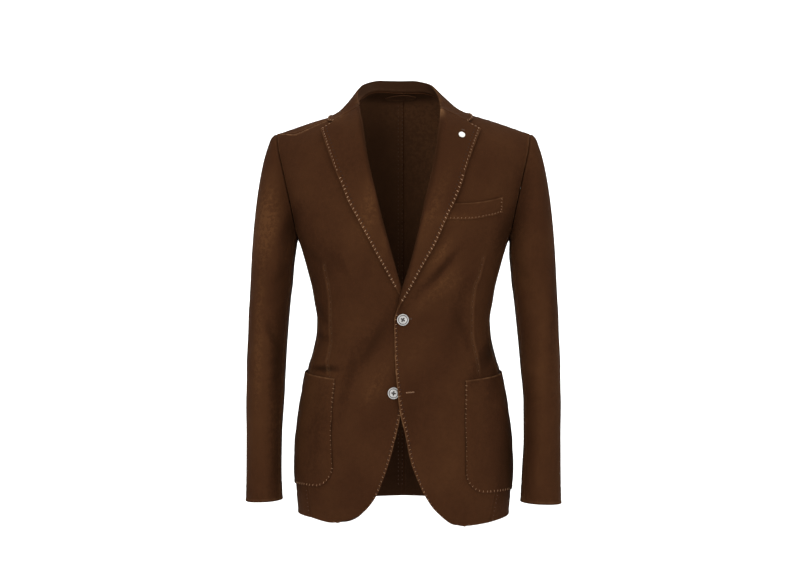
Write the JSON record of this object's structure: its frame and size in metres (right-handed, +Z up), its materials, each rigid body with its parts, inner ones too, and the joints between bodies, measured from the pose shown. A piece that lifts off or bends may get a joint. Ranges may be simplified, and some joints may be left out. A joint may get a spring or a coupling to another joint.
{
  "type": "work jacket",
  "caption": "Dark brown single-breasted cotton jacket with notched lapels, patch pockets and a breast welt, filled out with open neck, hem and cuffs.",
  "frame": {"origin": "middle of the neck opening, level with the shoulders, where the wearer's shoulders and neck carry the jacket", "axes": "+Z up, -Y out of the jacket's front, +X towards the wearer's left"},
  "size_m": [0.5512, 0.2531, 0.7773],
  "materials": {
    "cloth": "matte brushed cotton, a little faded",
    "cloth_inside": "matte cotton, darker",
    "button": "glossy pearl grey",
    "stud": "glossy white"
  },
  "bodies": {
    "root": {"front_left": "cloth", "front_right": "cloth", "side_left": "cloth", "side_right": "cloth", "back_left": "cloth", "back_right": "cloth", "lapel_left": "cloth", "lapel_right": "cloth", "collar_leaf": "cloth", "collar_stand": "cloth_inside", "neck_tab": "cloth_inside", "patch_pocket_left": "cloth", "patch_pocket_right": "cloth", "breast_welt": "cloth", "top_sleeve_left": "cloth", "top_sleeve_right": "cloth", "under_sleeve_left": "cloth", "under_sleeve_right": "cloth", "button_upper": "button", "button_lower": "button", "lapel_stud": "stud"}
  },
  "joints": []
}
